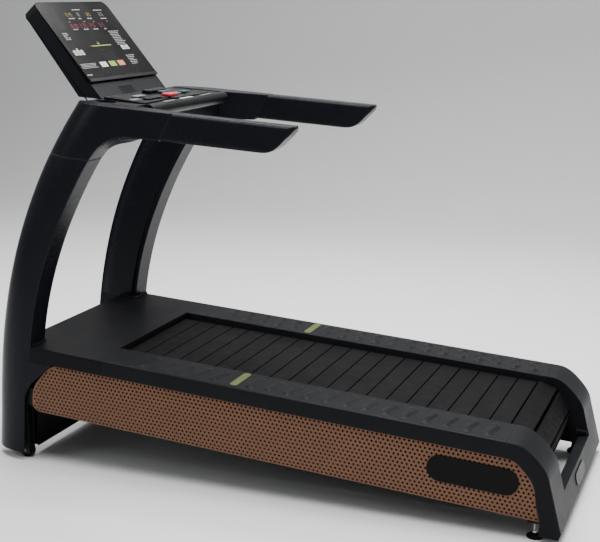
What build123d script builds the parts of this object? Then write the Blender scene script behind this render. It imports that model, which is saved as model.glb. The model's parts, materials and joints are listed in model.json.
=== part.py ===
from build123d import *
from math import asin, atan2, cos, degrees, pi, radians, sin
import os

# Flat slat-belt treadmill. Millimetres. The machine is drawn in its deck frame: +X forward
# along the belt, +Y to the runner's left, +Z square to the deck. The deck is then tilted
# front-up, and the wheels and feet are drawn straight in the floor frame.

# --- driving dimensions -------------------------------------------------------
INCLINE = 4.13          # fixed front-up tilt of the deck, degrees
ORIGIN_X = 45.67        # floor-frame x of the middle of the machine
HALF_W = 450            # outside ridge of the foot rails
CLEAR = 0.5             # gap between neighbouring covers

# deck
RAIL_TOP = 386.5
RAIL_SKIN = 5
RIDGE_R = 9             # round of the rails' and caps' outer edge
SKIRT_LOW = 300         # lower edge of the skirt between slats and side
BAND_LOW = 330          # lower edge of the band under the rail ridge
OPEN_HALF = 278         # half width of the belt opening
OPEN_FRONT = 665
HOOD_SEAM = 640
HOOD_FRONT = 1025
FRONT_COVER_HALF = 349
CAP_SEAM = -824
RIB_PITCH = 69.5
RIB_FIRST = -760
RIB_LAST = 560
MARKER_X = 135
PANEL_Y = 444           # outer face of the perforated side panels
PANEL_THICK = 3

# slat belt
SLAT_PITCH = 73.07
SLAT_COUNT = 51
SLAT_GAP = 3
SLAT_HALF_LEN = 274
SLAT_THICK = 12
SLAT_RIB_THICK = 8
SLAT_RIB_DROP = 14
LOOP_THICK = 6
LOOP_WIDTH = 40
LOOP_Y = 245
SLAT_TOP = 362
DRUM_R = 97             # inner radius of the belt loops
DRUM_GAP = 0.3
REAR_AXIS_X = -807
AXIS_Z = SLAT_TOP - SLAT_THICK - LOOP_THICK - DRUM_R
FRONT_AXIS_X = REAR_AXIS_X + SLAT_COUNT * SLAT_PITCH / 2 - pi * (DRUM_R + LOOP_THICK / 2)
SLAT_LINE_X = 594.1     # one gap between slats on the top run

# frame
BEAM_LOW_Y, BEAM_HIGH_Y = 330, 372
BEAM_LOW_Z, BEAM_HIGH_Z = 150, 222
BEAM_REAR_X, BEAM_FRONT_X = -975, 935
REAR_MEMBER = ((-992, -958), (120, BEAM_LOW_Z))
BEAM_WALL = 4
CROSS_X = (-560, -60, 440)
CROSS_Z = (180, 215)
BRACKET_X = (-700, -250, 200, 600)

BLOCK_Y, BLOCK_FOOT = (334, 350), 14
ROLLER_RAIL_Y = 214
ROLLER_R, ROLLER_GAP = 15, 0.3
ROLLER_FIRST_X, ROLLER_PITCH, ROLLER_COUNT = -680, 64, 22
ROLLER_AXIS_Z = AXIS_Z + DRUM_R - ROLLER_R - ROLLER_GAP
DRIVE_Y, DRIVE_R = (296, 320), 62
GEN_X, GEN_Z, GEN_PULLEY_R, GEN_SHAFT_R = 938, 292, 24, 10
GEN_BODY_Y, GEN_BODY_R = (140, 290), 54

# side castings and arms
UPRIGHT_TOP = 1108      # seam between upright and shoulder
UPRIGHT_IN = 350        # inner edge of the rear face
UPRIGHT_FRONT_IN = 353  # inner edge of the front face
CORNER_RX, CORNER_RY = 160, 90
SKIN = 4
CHANNEL = 16            # recessed strip on the inner side of each upright
LEG_REAR_X = 970
LEG_FLOOR_GAP = 32
LEG_WINDOW_X = 1036     # the leg's inner wall is open behind this line, for the frame
COLUMN_FOOT_Z, COLUMN_TOP_Z = 220, 1198
COLUMN_Y = (394, 434)
COLUMN_FOOT = ((860, 1018), (BEAM_HIGH_Y, 432), (BEAM_LOW_Z + 2, COLUMN_FOOT_Z))
ARM_TOP = 1303
ARM_LOW = 1206
ARM_IN = 384
ARM_TIP_X = -41
ARM_ROUND, ARM_NOSE = 12, 30
SHOULDER_SEAM_LOW_X = 447
SHOULDER_SEAM_HIGH_X = 402
ARM_TUBE_REAR, ARM_TUBE_FRONT = 80, 690
ARM_TUBE_BOX = (396, 434, 1232, 1280)

# console
TRAY_HALF = 349.4
TRAY_TOP = 1300
TRAY_LOW = 1212
TRAY_REAR_X, TRAY_FRONT_X = 598, 800
TRAY_TOE_X = 850        # lower front corner of the tray
CUP_X, CUP_Y, CUP_R, CUP_DEEP = 735, 307, 38, 70
BAR_X, BAR_Z, BAR_R, BAR_HALF = 562, 1285, 23, 310
PLATE_REAR_X, PLATE_FRONT_X, PLATE_HALF = 604, 768, 262
PLATE_REAR_Z, PLATE_FRONT_Z = 1305, 1311
KEY_STEM_R = 5
KEY_TRAVEL = 2
STOP_TRAVEL = 4
DISPLAY_HALF = 256
DISPLAY_ANGLE = 46.4    # rise of the screen above the deck plane
DISPLAY_FOOT = (780, 1310)
DISPLAY_LEN = 433
DISPLAY_LEDGE = 76      # where the screen steps down to the vent panel
BEZEL_THICK = (3, 17)   # at the top edge and at the ledge
DISPLAY_ROUND = 32

# rolling gear
WHEEL_R, WHEEL_W, WHEEL_X, WHEEL_Y = 30, 26, 985, 402
WHEEL_PIN_R = 6
FOOT_X, FOOT_Y, FOOT_R, STEM_R = -944, 404, 27, 6
FOOT_PLATE_Z = 54
AXLE_R = 15
RUN_FIT = 0.05          # radial clearance of running fits

parts = {}


# --- helpers ------------------------------------------------------------------
def to_floor(shape):
    """Deck frame to floor frame."""
    return Rot(0, -INCLINE, 0) * shape


def keep(name, shape, floor=False):
    """Files a sub-part, centred on the machine's middle."""
    placed = shape if floor else to_floor(shape)
    parts[name] = Pos(-ORIGIN_X, 0, 0) * placed


def flank(outline, y_low, y_high):
    """Solid between two y planes from an outline drawn as (x, z)."""
    face = make_face(Plane.XZ * outline)
    return Pos(0, y_high, 0) * extrude(face, y_high - y_low, dir=(0, -1, 0))


def polygon_flank(points, y_low, y_high):
    return flank(Polyline(*points, close=True), y_low, y_high)


def block(x0, x1, y0, y1, z0, z1):
    size = (x1 - x0, y1 - y0, z1 - z0)
    middle = ((x0 + x1) / 2, (y0 + y1) / 2, (z0 + z1) / 2)
    return Pos(*middle) * Box(*size)


def rod(x, y0, y1, z, radius, bore=0):
    """Round bar or ring along Y."""
    length = y1 - y0
    body = Cylinder(radius, length)
    if bore:
        body -= Cylinder(bore, length + 2)
    return Pos(x, (y0 + y1) / 2, z) * Rot(90, 0, 0) * body


def post(x, y, z0, z1, radius, bore=0):
    """Round bar or ring along Z."""
    body = Cylinder(radius, z1 - z0)
    if bore:
        body -= Cylinder(bore, z1 - z0 + 2)
    return Pos(x, y, (z0 + z1) / 2) * body


def flip(shape):
    """The same piece for the other side."""
    return mirror(shape, about=Plane.XZ)


def both(name, left_shape, floor=False):
    keep(f"{name}_left", left_shape, floor)
    keep(f"{name}_right", flip(left_shape), floor)


def group(*pieces):
    """Separate solids kept in one node."""
    return Compound([solid for piece in pieces for solid in piece.solids()])


def pair(shape):
    return group(shape, flip(shape))


# --- upright shape ------------------------------------------------------------
def front_x(z):
    rise = max(z - 200, 0) / 1000
    return 1125 - 186.6 * rise**2 - 68.3 * rise**3


def rear_x(z):
    rise = max(z - 300, 0) / 1000
    return 950 - 355 * rise**2


def upright_section(z, rear, inset=0):
    """Level cut through the side casting: flat outside, rounded outer front corner."""
    front = front_x(z) - inset
    outside = HALF_W - inset
    inside_rear = UPRIGHT_IN + inset
    inside_front = UPRIGHT_FRONT_IN + inset
    rx, ry = CORNER_RX, outside - inside_front
    corner = EllipticalCenterArc((front - rx, outside - ry), rx, ry, 0, arc_size=90)
    walls = Polyline(
        (front - rx, outside),
        (rear + inset, outside),
        (rear + inset, inside_rear),
        (front, inside_front),
    )
    return Pos(0, 0, z) * make_face(corner + walls)


def upright_form(inset, levels):
    return loft([upright_section(z, rear_x(z), inset) for z in levels])


LEVELS = (-80, 60, 200, 330, 480, 640, 800, 960, UPRIGHT_TOP)


def uprights():
    outer = upright_form(0, LEVELS)
    inner_levels = (-80 - 1,) + LEVELS[1:-1] + (UPRIGHT_TOP + 1,)
    shell = outer - upright_form(SKIN, inner_levels)
    # web that joins the leg to the band above the side panel, with its hollow round the panel's nose
    web = polygon_flank([(955, 330), (862, 330), (868, 314), (940, 248), (955, 226)], 440, HALF_W)
    shell += web
    shell -= leg_hollow()
    shell -= panel_form(1, 430, HALF_W + 1)
    shell -= column_foot_space()
    shell = to_floor(shell)
    shell -= block(0, 1500, 0, 500, -300, LEG_FLOOR_GAP)
    shell -= leg_toe_cut()
    shell = Rot(0, INCLINE, 0) * shell
    seam_y, foot_z = UPRIGHT_IN + 3, RAIL_TOP + CLEAR
    inner_cover = (shell & block(0, 1500, 0, seam_y, foot_z, 1300)) - channel_form()
    shell -= block(0, 1500, 0, seam_y + CLEAR, foot_z, 1300)
    shell -= block(0, LEG_WINDOW_X, 0, seam_y + CLEAR, -300, foot_z)
    both("upright_shell", shell)
    keep("upright_inner_covers", pair(inner_cover))


def leg_hollow():
    """Space behind the leg: the panel's nose and the wheel show in it."""
    outline = (
        Polyline((800, -200), (LEG_REAR_X, -200), (LEG_REAR_X, 165))
        + ThreePointArc((LEG_REAR_X, 165), (963, 205), (940, 240))
        + Polyline((940, 240), (868, 306), (800, 306), (800, -200))
    )
    return flank(outline, 0, 500)


def leg_toe_cut():
    """Rounds the leg's lower front corner, in the floor frame."""
    toe = front_x(0) * cos(radians(INCLINE))
    r = 32
    outline = Polyline(
        (toe - r, LEG_FLOOR_GAP - 1),
        (toe + 20, LEG_FLOOR_GAP - 1),
        (toe + 20, LEG_FLOOR_GAP + r),
        (toe, LEG_FLOOR_GAP + r),
    )
    outline += ThreePointArc(
        (toe, LEG_FLOOR_GAP + r),
        (toe - r * (1 - cos(pi / 4)), LEG_FLOOR_GAP + r * (1 - sin(pi / 4))),
        (toe - r, LEG_FLOOR_GAP),
    )
    outline += Line((toe - r, LEG_FLOOR_GAP), (toe - r, LEG_FLOOR_GAP - 1))
    return flank(outline, 0, 500)


def channel_section(z, low_y, high_y, start, end):
    x = rear_x(z)
    return Pos(0, 0, z) * make_face(
        Polyline((x + start, low_y), (x + end, low_y), (x + end, high_y), (x + start, high_y), close=True)
    )


def channel_form():
    levels = (300,) + LEVELS[4:-1] + (UPRIGHT_TOP + 2,)
    return loft([channel_section(z, UPRIGHT_IN - 10, UPRIGHT_IN + 10, -5, CHANNEL + 1) for z in levels])


def channel_strips():
    levels = LEVELS[4:-1] + (UPRIGHT_TOP - 1,)
    levels = (RAIL_TOP + 2,) + levels
    strip = loft([channel_section(z, UPRIGHT_IN + 4.5, UPRIGHT_IN + 7, SKIN + 1, CHANNEL) for z in levels])
    keep("upright_channel_strips", pair(strip))


def upright_columns():
    """Steel column inside each upright, on a foot bolted to the side beam."""
    levels = (COLUMN_FOOT_Z, 330, 480, 640, 800, 960, COLUMN_TOP_Z)
    outer = loft([column_section(z, 0) for z in levels])
    ends = (COLUMN_FOOT_Z - 1,) + levels[1:-1] + (COLUMN_TOP_Z + 1,)
    column = outer - loft([column_section(z, 3) for z in ends])
    keep("upright_columns", pair(column))


def column_foot():
    foot = column_foot_space(0)
    (x0, x1), (y0, y1), (low, top) = COLUMN_FOOT
    return foot - block(x0 - 1, x1 + 1, y0 + 4, y1 - 4, low - 1, top - 6)


def column_foot_space(grow=CLEAR):
    (x0, x1), (y0, y1), (low, top) = COLUMN_FOOT
    return block(x0 - grow, x1 + grow, y0, y1 + grow, low - grow, top + grow)


def column_section(z, wall):
    low, high = COLUMN_Y[0] + wall, COLUMN_Y[1] - wall
    rear = rear_x(z) + 18 + wall
    front = rear_x(z) + 70 - wall
    return Pos(0, 0, z) * make_face(
        Polyline((rear, low), (front, low), (front, high), (rear, high), close=True)
    )


# --- shoulders and arms -------------------------------------------------------
def seam_x(z):
    """The slanted joint between shoulder and arm."""
    share = (z - ARM_LOW) / (ARM_TOP - ARM_LOW)
    return SHOULDER_SEAM_LOW_X + (SHOULDER_SEAM_HIGH_X - SHOULDER_SEAM_LOW_X) * share


def shoulder_form(inset):
    low = UPRIGHT_TOP + CLEAR - inset / 4
    levels = (low, 1175, 1240, ARM_TOP - inset)
    body = loft([upright_section(z, 380, inset) for z in levels])
    body -= arch_cut(inset)
    past_seam = [(300, 1100), (seam_x(1100) + inset, 1100), (seam_x(1400) + inset, 1400), (300, 1400)]
    body -= polygon_flank(past_seam, 0, 500)
    inside, arm_side = UPRIGHT_IN + inset, ARM_IN + inset
    taper = Polyline((300, 300), (640, 300), (600, inside), (430, arm_side), (300, arm_side), close=True)
    return body - Pos(0, 0, 1000) * extrude(make_face(taper), 400)


def arch_outline(y, points, inset):
    """Level underside, round arch, then the upright's rear edge, at one distance from the middle."""
    foot = rear_x(UPRIGHT_TOP) + inset
    raised = [(x, z + inset) for x, z in points]
    outline = Polyline((foot, 1000), (foot, UPRIGHT_TOP))
    outline += Spline((foot, UPRIGHT_TOP), *raised, tangents=[(-0.57, 0.82), (-1, 0)])
    outline += Polyline(raised[-1], (300, ARM_LOW + inset), (300, 1000), (foot, 1000))
    return Pos(0, y, 0) * make_face(Plane.XZ * outline)


def arch_cut(inset):
    """Space under the shoulder: its underside hangs lower on the runner's side."""
    outside = arch_outline(HALF_W + 1, [(665, 1172), (610, 1199), (560, ARM_LOW)], inset)
    inside = arch_outline(UPRIGHT_IN - 4, [(678, 1150), (598, 1176), (500, 1194)], inset)
    return loft([inside, outside], ruled=True)


def shoulders():
    shell = shoulder_form(0) - shoulder_form(SKIN) - arm_tube_hole()
    both("shoulder_cover", shell)


def arm_outline(inset):
    """Side view of the grip: slanted front joint, level top and bottom, swept-up tip."""
    low, top = ARM_LOW + inset, ARM_TOP - inset
    front = -CLEAR - inset
    tip = ARM_TIP_X + inset
    outline = Polyline(
        (118, low), (seam_x(low) + front, low), (seam_x(top) + front, top), (tip + 6, top), (tip, top - 6)
    )
    outline += Spline(
        (tip, top - 6),
        (tip + 29, 1260 + inset / 2),
        (tip + 62, 1225 + inset),
        (118, low),
        tangents=[(0.45, -0.9), (1, 0)],
    )
    return outline


def arms():
    skin = flank(arm_outline(0), ARM_IN, HALF_W)
    round_bar = RectangleRounded(HALF_W - ARM_IN, ARM_TOP - ARM_LOW, ARM_ROUND)
    round_bar = Plane.YZ * Pos((HALF_W + ARM_IN) / 2, (ARM_TOP + ARM_LOW) / 2) * round_bar
    skin &= Pos(-100, 0, 0) * extrude(round_bar, 700, dir=(1, 0, 0))
    plan = RectangleRounded(500 - ARM_TIP_X, HALF_W - ARM_IN, ARM_NOSE)
    nose = Pos((ARM_TIP_X + 500) / 2, (ARM_IN + HALF_W) / 2) * plan
    skin &= Pos(0, 0, 1000) * extrude(nose, 400)
    hollow = flank(arm_outline(SKIN), ARM_IN + SKIN, HALF_W - SKIN)
    hollow &= Pos(SKIN, 0, 1000) * extrude(nose, 400)
    both("arm_grip", skin - hollow - arm_tube_hole())


def arm_tubes():
    keep("arm_tubes", pair(tube_x(ARM_TUBE_REAR, ARM_TUBE_FRONT, *ARM_TUBE_BOX, 3)))


def arm_tube_hole():
    y0, y1, z0, z1 = ARM_TUBE_BOX
    return block(seam_x(z0) - 60, seam_x(z0) + 20, y0 - CLEAR, y1 + CLEAR, z0 - CLEAR, z1 + CLEAR)


# --- deck covers --------------------------------------------------------------
def rail_section():
    """Cut across a foot rail: outer band, round ridge, flat tread, skirt beside the slats."""
    ridge = RIDGE_R
    skin = RAIL_SKIN
    outer = HALF_W
    outline = Polyline((outer, RAIL_TOP - ridge), (outer, BAND_LOW + 1), (outer - skin, BAND_LOW + 1))
    outline += Polyline(
        (outer - skin, BAND_LOW + 1),
        (outer - skin, RAIL_TOP - ridge),
        (outer - ridge, RAIL_TOP - skin),
        (OPEN_HALF + skin, RAIL_TOP - skin),
        (OPEN_HALF + skin, SKIRT_LOW),
        (OPEN_HALF, SKIRT_LOW),
        (OPEN_HALF, RAIL_TOP - 2),
        (OPEN_HALF + 2, RAIL_TOP),
        (outer - ridge, RAIL_TOP),
    )
    outline += ThreePointArc(
        (outer - ridge, RAIL_TOP),
        (outer - ridge * (1 - sin(pi / 4)), RAIL_TOP - ridge * (1 - cos(pi / 4))),
        (outer, RAIL_TOP - ridge),
    )
    return outline


def run_along(outline, x0, x1):
    """Solid along X from an outline drawn as (y, z)."""
    face = make_face(Plane.YZ * outline)
    return Pos(x0, 0, 0) * extrude(face, x1 - x0, dir=(1, 0, 0))


def foot_rails():
    rail = run_along(rail_section(), CAP_SEAM + CLEAR, HOOD_SEAM - CLEAR)
    rib = Pos(0, 365, RAIL_TOP) * Box(26, 100, 3)
    rib = fillet(rib.edges().filter_by(Axis.Z), 12)
    count = int((RIB_LAST - RIB_FIRST) / RIB_PITCH) + 1
    for i in range(count):
        x = RIB_FIRST + i * RIB_PITCH
        if abs(x - MARKER_X) > 40:
            rail += Pos(x, 0, 0) * rib
    pocket = Pos(MARKER_X, 360, RAIL_TOP) * Box(32, 142, 2)
    both("foot_rail", rail - pocket)
    marker = Pos(MARKER_X, 360, RAIL_TOP + 0.5) * Box(30, 140, 3)
    keep("step_markers", pair(fillet(marker.edges().filter_by(Axis.Z), 13)))


def hood():
    half = run_along(rail_section(), HOOD_SEAM, HOOD_FRONT)
    plate = block(OPEN_FRONT, HOOD_FRONT, -OPEN_HALF - 3, OPEN_HALF + 3, RAIL_TOP - RAIL_SKIN, RAIL_TOP)
    lip = block(OPEN_FRONT, OPEN_FRONT + RAIL_SKIN, -OPEN_HALF - 3, OPEN_HALF + 3, RAIL_TOP - 20, RAIL_TOP)
    lip_half = OPEN_HALF + 10
    inner_lips = block(OPEN_FRONT + RAIL_SKIN, HOOD_FRONT + 1, -lip_half, lip_half, 300, RAIL_TOP - RAIL_SKIN)
    body = half + flip(half) - inner_lips + plate + lip
    for y0, y1 in ((UPRIGHT_IN - CLEAR, 460), (-460, CLEAR - UPRIGHT_IN)):
        body -= block(rear_x(RAIL_TOP) - CLEAR, 1200, y0, y1, 300, 400)
    keep("front_hood", body)


def front_cover():
    """Leaning shell between the legs, from the hood's front edge down to the floor gap."""
    outline = Polyline(
        (HOOD_FRONT - 5, RAIL_TOP - RAIL_SKIN - CLEAR),
        (HOOD_FRONT, RAIL_TOP - RAIL_SKIN - CLEAR),
        (HOOD_FRONT, 340),
        (975, -44),
        (970, -44),
        (HOOD_FRONT - 5, 340),
        close=True,
    )
    keep("front_cover", flank(outline, -FRONT_COVER_HALF, FRONT_COVER_HALF))


# --- rear end -----------------------------------------------------------------
def cap_curve(inset):
    """Outline of the rear cap from its seam, over the end, down to its foot."""
    top = RAIL_TOP - inset
    path = Line((CAP_SEAM, top), (-838, top))
    path += Spline(
        (-838, top),
        (-908 + inset * 0.6, 359 - inset * 0.8),
        (-957 + inset * 0.9, 310 - inset * 0.4),
        (-976 + inset, 268),
        tangents=[(-1, 0), (-0.25, -1)],
    )
    path += Line((-976 + inset, 268), (-1027 + inset, 112))
    return path


def end_caps():
    """Shells over the rails' rear ends, each with an inner wall beside the slats."""
    foot = Polyline((-1027, 112), (-1021, 92), (CAP_SEAM, 92), (CAP_SEAM, RAIL_TOP))
    form = flank(cap_curve(0) + foot, OPEN_HALF, HALF_W)
    upper = form.edges().filter_by(lambda e: e.center().Z > 115 and e.center().X < CAP_SEAM - 1)
    form = fillet([e for e in upper if abs(e.center().Y - HALF_W) < 0.1], RIDGE_R)
    under_seam = RAIL_TOP - RAIL_SKIN
    opening = Polyline((-1022, 112), (-1022, 80), (CAP_SEAM + 1, 80), (CAP_SEAM + 1, under_seam))
    opening += Line((CAP_SEAM + 1, under_seam), (CAP_SEAM, under_seam))
    hollow = flank(cap_curve(RAIL_SKIN) + opening, OPEN_HALF + RAIL_SKIN, HALF_W - RAIL_SKIN)
    body = form - hollow - panel_form(1, HALF_W - 40, HALF_W + 1)
    body -= block(-958, CAP_SEAM + 1, HALF_W - 30, HALF_W + 1, 0, 135)
    (x0, x1), (z0, z1) = REAR_MEMBER
    body -= block(x0 - 1, x1 + 1, OPEN_HALF - 1, OPEN_HALF + 20, z0 - 1, z1 + 1)
    body -= block(-942, CAP_SEAM - RAIL_SKIN, OPEN_HALF - 1, OPEN_HALF + RAIL_SKIN + 1, 80, 150)
    step = block(-994, -955, OPEN_HALF - 14, OPEN_HALF + 1, 191 + CLEAR, 206)
    both("end_cap", body.solids().sort_by(SortBy.VOLUME)[-1] + step)


def rear_bumper():
    """Leaning plate across the rear, with a shelf that stops short of the slats."""
    outline = Polyline(
        (-1001, 191),
        (-1027, 112),
        (-1021, 92),
        (-1016, 92),
        (-1021, 112),
        (-997, 186),
        (-965, 178),
        (-965, 183),
        close=True,
    )
    keep("rear_bumper", flank(outline, CLEAR - OPEN_HALF, OPEN_HALF - CLEAR))


BUMPER_LEAN = degrees(atan2(1027 - 1001, 191 - 112))


def badges():
    """Blank plates: one on each side panel and one on the bumper."""
    oval = extrude(Plane.XZ * SlotOverall(303, 90), 3, dir=(0, 1, 0))
    side_badge = Pos(-727, PANEL_Y, 250) * oval
    small = extrude(Plane.YZ * SlotOverall(170, 44), 3, dir=(-1, 0, 0))
    rear_badge = Pos(-1014, 0, 151.5) * Rot(0, BUMPER_LEAN, 0) * small
    keep("blank_badges", group(side_badge, flip(side_badge), rear_badge))


# --- side panels --------------------------------------------------------------
def panel_form(grow, y_low, y_high):
    """Side panel outline with a round nose at the front and a raked tail."""
    g = grow
    low, top = 134 - g, 330 + g
    outline = Polyline((-958 - g, low), (910, low))
    outline += ThreePointArc((910, low), (930, 143), (939 + g, 165))
    nose = [(939 + g, 165), (930 + g, 236), (888 + g, 296), (810, top)]
    tail = [(-830, top), (-886 - g, 303), (-918 - g, 268), (-930 - g, 240)]
    outline += Spline(*nose, tangents=[(0, 1), (-1, 0)])
    outline += Line((810, top), (-830, top))
    outline += Spline(*tail, tangents=[(-1, 0), (-0.32, -1)])
    outline += Line((-930 - g, 240), (-958 - g, low))
    return flank(outline, y_low, y_high)


def side_panels():
    both("side_panel", panel_form(0, PANEL_Y - PANEL_THICK, PANEL_Y))


# --- steel frame --------------------------------------------------------------
def tube_x(x0, x1, y0, y1, z0, z1, wall):
    return block(x0, x1, y0, y1, z0, z1) - block(x0 - 1, x1 + 1, y0 + wall, y1 - wall, z0 + wall, z1 - wall)


def tube_y(x0, x1, y0, y1, z0, z1, wall):
    return block(x0, x1, y0, y1, z0, z1) - block(x0 + wall, x1 - wall, y0 - 1, y1 + 1, z0 + wall, z1 - wall)


def frame():
    beam = tube_x(BEAM_REAR_X, BEAM_FRONT_X, BEAM_LOW_Y, BEAM_HIGH_Y, BEAM_LOW_Z, BEAM_HIGH_Z, BEAM_WALL)
    keep("side_beams", pair(beam))
    half = BEAM_LOW_Y
    inside = [tube_y(x - 25, x + 25, -half, half, CROSS_Z[0], CROSS_Z[1], 3) for x in CROSS_X]
    front = tube_y(895, BEAM_FRONT_X, -half, half, BEAM_LOW_Z, BEAM_HIGH_Z, BEAM_WALL)
    rear = tube_y(*REAR_MEMBER[0], -BEAM_HIGH_Y, BEAM_HIGH_Y, *REAR_MEMBER[1], BEAM_WALL)
    keep("cross_members", group(*inside, front, rear))


def frame_brackets():
    """Plates welded to the frame: they hold the panels, the rails and the rolling deck."""
    panel_arms = [block(x - 15, x + 15, BEAM_HIGH_Y, PANEL_Y - PANEL_THICK, 180, 200) for x in BRACKET_X]
    rail_posts = [block(x - 20, x + 20, 356, 362, BEAM_HIGH_Z, RAIL_TOP - RAIL_SKIN) for x in BRACKET_X]
    deck_legs = [
        block(x - 20, x + 20, ROLLER_RAIL_Y - 6, ROLLER_RAIL_Y, CROSS_Z[1], ROLLER_AXIS_Z + 5) for x in CROSS_X
    ]
    keep("frame_brackets", group(*[pair(one) for one in panel_arms + rail_posts + deck_legs]))


def end_brackets():
    """Plates at the frame's ends: column feet, wheel forks and the levelling feet's angles."""
    x0, x1, y0 = FOOT_X - 22, FOOT_X + 22, BEAM_HIGH_Y + RUN_FIT
    plate = block(x0, x1, y0, FOOT_Y + 22, FOOT_PLATE_Z, FOOT_PLATE_Z + 6)
    plate += block(x0, x1, y0, y0 + 5, FOOT_PLATE_Z, FOOT_PLATE_Z + 76)
    plate -= post(FOOT_X, FOOT_Y, FOOT_PLATE_Z - 4, FOOT_PLATE_Z + 10, STEM_R + RUN_FIT)
    half = WHEEL_W / 2
    low, top = WHEEL_R - 14, 215
    forks = []
    for y in (WHEEL_Y - half - 6, WHEEL_Y + half + 2):
        fork = block(WHEEL_X - 20, WHEEL_X + 20, y, y + 4, low, top)
        forks.append(fork - rod(WHEEL_X, y - 1, y + 5, WHEEL_R, WHEEL_PIN_R))
    pieces = [to_floor(column_foot()), plate] + forks
    keep("end_brackets", group(*[pair(piece) for piece in pieces]), floor=True)


def fasteners():
    """Foot lock nuts and the bolts that hold the bearing blocks."""
    nut = extrude(RegularPolygon(10, 6), 7) - Pos(0, 0, -1) * extrude(Circle(STEM_R + RUN_FIT), 9)
    pieces = [pair(Pos(FOOT_X, FOOT_Y, FOOT_PLATE_Z + 6) * nut)]
    top = BEAM_HIGH_Z + BLOCK_FOOT
    for x in (FRONT_AXIS_X, REAR_AXIS_X):
        for dx in (-43, 43):
            bolt = Pos(x + dx, sum(BLOCK_Y) / 2, top) * extrude(RegularPolygon(5, 6), 5)
            pieces.append(to_floor(pair(bolt)))
    keep("fasteners", group(*pieces), floor=True)


# --- slat belt ----------------------------------------------------------------
def belt_place(s):
    """Point and heading of the belt loop's outer face at arc length s from the rear axis."""
    run = FRONT_AXIS_X - REAR_AXIS_X
    turn = pi * (DRUM_R + LOOP_THICK / 2)
    r = DRUM_R + LOOP_THICK
    s %= 2 * run + 2 * turn
    if s < run:
        return REAR_AXIS_X + s, AXIS_Z + r, 0
    if s < run + turn:
        a = (s - run) / turn * pi
        return FRONT_AXIS_X + r * sin(a), AXIS_Z + r * cos(a), a
    if s < 2 * run + turn:
        return FRONT_AXIS_X - (s - run - turn), AXIS_Z - r, pi
    a = (s - 2 * run - turn) / turn * pi
    return REAR_AXIS_X - r * sin(a), AXIS_Z - r * cos(a), pi + a


def slat():
    plate = Pos(0, 0, SLAT_THICK / 2) * Box(SLAT_PITCH - SLAT_GAP, 2 * SLAT_HALF_LEN, SLAT_THICK)
    plate = fillet(plate.edges().group_by(Axis.Z)[-1].filter_by(Axis.Y), 3)
    rib_half = ROLLER_RAIL_Y - 14
    rib = Pos(0, 0, -SLAT_RIB_DROP / 2) * Box(SLAT_RIB_THICK, 2 * rib_half, SLAT_RIB_DROP)
    return plate + rib


def slats():
    one = slat()
    runs = {"slats_top": [], "slats_front_turn": [], "slats_return": [], "slats_rear_turn": []}
    first = SLAT_LINE_X - REAR_AXIS_X + SLAT_PITCH / 2
    for i in range(SLAT_COUNT):
        x, z, a = belt_place(first + i * SLAT_PITCH)
        placed = Pos(x, 0, z) * Rot(0, degrees(a), 0) * one
        if abs(a) < 1e-6:
            runs["slats_top"].append(placed)
        elif abs(a - pi) < 1e-6:
            runs["slats_return"].append(placed)
        else:
            runs["slats_front_turn" if a < pi else "slats_rear_turn"].append(placed)
    for name, solids in runs.items():
        keep(name, group(*solids))


def belt_loops():
    low, high = LOOP_Y - LOOP_WIDTH / 2, LOOP_Y + LOOP_WIDTH / 2

    def oval(r):
        middle = (FRONT_AXIS_X + REAR_AXIS_X) / 2
        overall = FRONT_AXIS_X - REAR_AXIS_X + 2 * r
        face = Plane.XZ * SlotOverall(overall, 2 * r)
        return Pos(middle, high, AXIS_Z) * extrude(face, high - low, dir=(0, -1, 0))

    keep("belt_loops", pair(oval(DRUM_R + LOOP_THICK) - oval(DRUM_R)))


# --- drums and rolling deck ---------------------------------------------------
def pulley(x):
    """Belt pulley: rim and hub joined by a web."""
    low, high = LOOP_Y - LOOP_WIDTH / 2, LOOP_Y + LOOP_WIDTH / 2
    rim = rod(x, low, high, AXIS_Z, DRUM_R - DRUM_GAP, DRUM_R - 10)
    web = rod(x, LOOP_Y - 5, LOOP_Y + 5, AXIS_Z, DRUM_R - 9, 20)
    hub = rod(x, low, high, AXIS_Z, 26, AXLE_R)
    return rim + web + hub


def bearing_block(x):
    low, high = BLOCK_Y
    foot = block(x - 50, x + 50, low, high, BEAM_HIGH_Z, BEAM_HIGH_Z + BLOCK_FOOT)
    ring = rod(x, low, high, AXIS_Z, 36) & block(x - 60, x + 60, low, high, BEAM_HIGH_Z, AXIS_Z + 60)
    return foot + ring - rod(x, low - 1, high + 1, AXIS_Z, AXLE_R + RUN_FIT)


def drums():
    reach = BLOCK_Y[1] + 4
    blocks = []
    for name, x in (("front", FRONT_AXIS_X), ("rear", REAR_AXIS_X)):
        keep(f"{name}_axle", rod(x, -reach, reach, AXIS_Z, AXLE_R))
        keep(f"{name}_pulleys", pair(pulley(x)))
        blocks += [bearing_block(x), flip(bearing_block(x))]
    keep("bearing_blocks", group(*blocks))


def rolling_deck():
    """Ball-bearing rollers on two rails carry the belt loops under the runner."""
    axis_z = ROLLER_AXIS_Z
    spots = [ROLLER_FIRST_X + i * ROLLER_PITCH for i in range(ROLLER_COUNT)]
    rollers = [rod(x, LOOP_Y - 6, LOOP_Y + 6, axis_z, ROLLER_R, 5) for x in spots]
    keep("deck_rollers", group(*[pair(roller) for roller in rollers]))
    rail = block(spots[0] - 35, spots[-1] + 35, ROLLER_RAIL_Y, ROLLER_RAIL_Y + 8, axis_z - 20, axis_z + 10)
    for x in spots:
        rail += rod(x, ROLLER_RAIL_Y + 7, LOOP_Y + 9, axis_z, 5)
    keep("roller_rails", pair(rail))


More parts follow.
